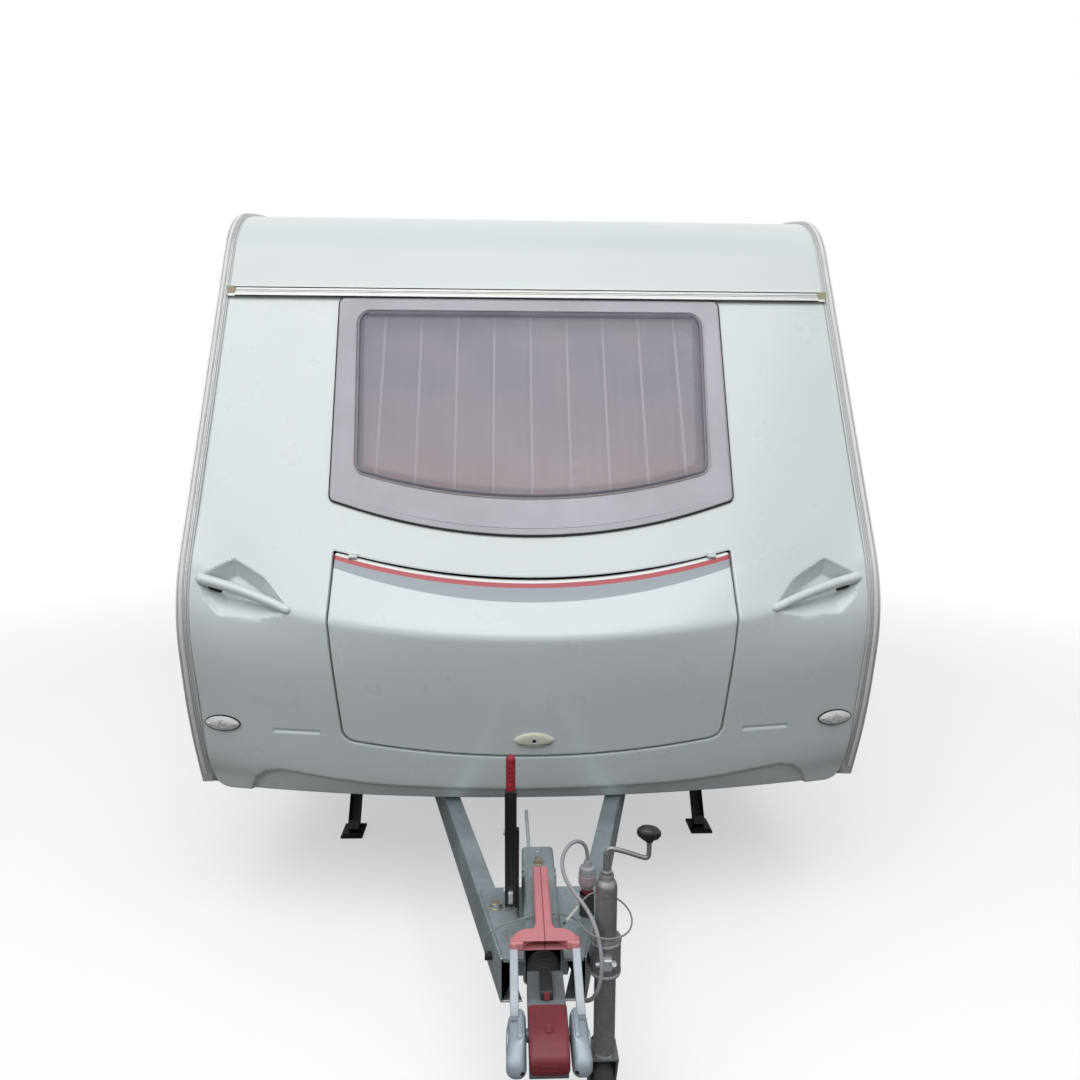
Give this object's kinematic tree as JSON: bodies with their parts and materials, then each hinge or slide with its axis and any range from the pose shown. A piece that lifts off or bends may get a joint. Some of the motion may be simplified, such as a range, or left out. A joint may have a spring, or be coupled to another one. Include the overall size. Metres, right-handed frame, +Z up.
{
  "type": "touring caravan",
  "caption": "Single axle touring caravan with a gas locker lid in the nose, side door, corner steadies, drawbar with overrun ball coupling, handbrake and jockey wheel.",
  "frame": {"origin": "on the ground, midway between the tip of the coupling and the rear bumper, on the centre line", "axes": "+Y to the tail, -Y to the coupling, +Z up, +X to the side away from the door"},
  "size_m": [2.158, 5.7, 2.5],
  "materials": {
    "front_moulding": "glossy moulded plastic, warm white",
    "wall_paint": "painted aluminium sheet, warm white",
    "window_acrylic": "tinted acrylic",
    "rooflight_acrylic": "clear acrylic dome",
    "latch_cream": "cream plastic",
    "lamp_lens": "clear lamp lens",
    "lamp_red": "red lamp lens",
    "trim_dark": "dark grey plastic",
    "cover_plastic": "white plastic",
    "rail_aluminium": "white coated aluminium",
    "floor_board": "sealed plywood",
    "chassis_steel": "galvanised",
    "drawbar_steel": "galvanised",
    "rim_paint": "silver paint",
    "tyre_rubber": "road tyre",
    "steady_black": "black paint",
    "coupling_paint": "silver painted casting",
    "gaiter_rubber": "soft rubber",
    "bumper_red": "dark red rubber",
    "fork_steel": "bright zinc",
    "grip_red": "red plastic",
    "lever_black": "black paint",
    "jockey_steel": "galvanised",
    "jockey_rubber": "solid rubber",
    "plug_plastic": "grey plastic",
    "cable_sheath": "grey sheath",
    "wire_sheath": "plastic coated wire",
    "curtain_fabric": "pale curtain cloth"
  },
  "bodies": {
    "caravan": {"front_panel": "front_moulding", "front_window": "window_acrylic", "marker_lamps": "lamp_lens", "grab_handles": "front_moulding", "rooflights": "rooflight_acrylic", "tail_panel": "front_moulding", "roof": "wall_paint", "tail_lamps": "lamp_red", "rear_bumper": "front_moulding", "side_wall_left": "wall_paint", "side_wall_right": "wall_paint", "cabin_windows": "window_acrylic", "hinges": "trim_dark", "service_covers": "cover_plastic", "body_rails": "rail_aluminium", "floor": "floor_board", "wheel_arch_trims": "cover_plastic", "locker_box": "floor_board", "chassis_rails": "chassis_steel", "drawbar_arms": "drawbar_steel", "axle": "chassis_steel", "cross_members": "chassis_steel", "overrun_housing": "drawbar_steel", "drawbar_plate": "drawbar_steel", "shaft_gaiter": "gaiter_rubber", "coupling_head": "coupling_paint", "coupling_bumper": "bumper_red", "stabiliser_arms": "fork_steel", "stabiliser_grip": "grip_red", "handbrake_lever": "lever_black", "handbrake_grip": "grip_red", "jockey_clamp": "jockey_steel", "jockey_outer_tube": "jockey_steel", "jockey_crank": "jockey_steel", "plug": "plug_plastic", "electric_cable": "cable_sheath", "breakaway_cable": "wire_sheath", "cable_mounts": "lever_black", "breakaway_clip": "fork_steel", "curtains": "curtain_fabric"},
    "wheel_left": {"wheel_rim_left": "rim_paint", "tyre_left": "tyre_rubber"},
    "wheel_right": {"wheel_rim_right": "rim_paint", "tyre_right": "tyre_rubber"},
    "entrance_door": {"door": "wall_paint", "door_window": "window_acrylic", "door_handle": "trim_dark"},
    "locker_cover": {"locker_lid": "front_moulding", "locker_latch": "latch_cream"},
    "front_steady_left": {"steady_front_left": "steady_black"},
    "front_steady_right": {"steady_front_right": "steady_black"},
    "rear_steady_left": {"steady_rear_left": "steady_black"},
    "rear_steady_right": {"steady_rear_right": "steady_black"},
    "jockey_stem": {"jockey_inner_tube": "jockey_steel"},
    "jockey_swivel": {"jockey_fork": "jockey_steel"},
    "jockey_roller": {"jockey_wheel": "jockey_rubber"}
  },
  "joints": [
    {"name": "wheel_spin_left", "type": "hinge", "parent": "caravan", "child": "wheel_left", "pos_m": [0.915, 0.8, 0.307], "axis": [1, 0, 0], "continuous": true},
    {"name": "wheel_spin_right", "type": "hinge", "parent": "caravan", "child": "wheel_right", "pos_m": [-0.915, 0.8, 0.307], "axis": [1, 0, 0], "continuous": true},
    {"name": "door_hinge", "type": "hinge", "parent": "caravan", "child": "entrance_door", "pos_m": [-1.0628, -0.714, 1.364], "axis": [0, 0, 1], "range_deg": [0, 150]},
    {"name": "locker_hinge", "type": "hinge", "parent": "caravan", "child": "locker_cover", "pos_m": [0, -1.7823, 1.2085], "axis": [-1, 0, 0], "range_deg": [0, 75]},
    {"name": "steady_hinge_front_left", "type": "hinge", "parent": "caravan", "child": "front_steady_left", "pos_m": [0.69, -0.905, 0.348], "axis": [-1, 0, 0], "range_deg": [0, 50]},
    {"name": "steady_hinge_front_right", "type": "hinge", "parent": "caravan", "child": "front_steady_right", "pos_m": [-0.69, -0.905, 0.348], "axis": [-1, 0, 0], "range_deg": [0, 50]},
    {"name": "steady_hinge_rear_left", "type": "hinge", "parent": "caravan", "child": "rear_steady_left", "pos_m": [0.69, 2.33, 0.348], "axis": [1, 0, 0], "range_deg": [0, 50]},
    {"name": "steady_hinge_rear_right", "type": "hinge", "parent": "caravan", "child": "rear_steady_right", "pos_m": [-0.69, 2.33, 0.348], "axis": [1, 0, 0], "range_deg": [0, 50]},
    {"name": "jockey_slide", "type": "slide", "parent": "caravan", "child": "jockey_stem", "axis": [0, 0, -1], "range_m": [0, 0.18]},
    {"name": "jockey_caster", "type": "hinge", "parent": "jockey_stem", "child": "jockey_swivel", "pos_m": [0.137, -2.56, 0.2], "axis": [0, 0, 1], "continuous": true},
    {"name": "jockey_wheel_spin", "type": "hinge", "parent": "jockey_swivel", "child": "jockey_roller", "pos_m": [0.137, -2.516, 0.092], "axis": [1, 0, 0], "continuous": true}
  ]
}
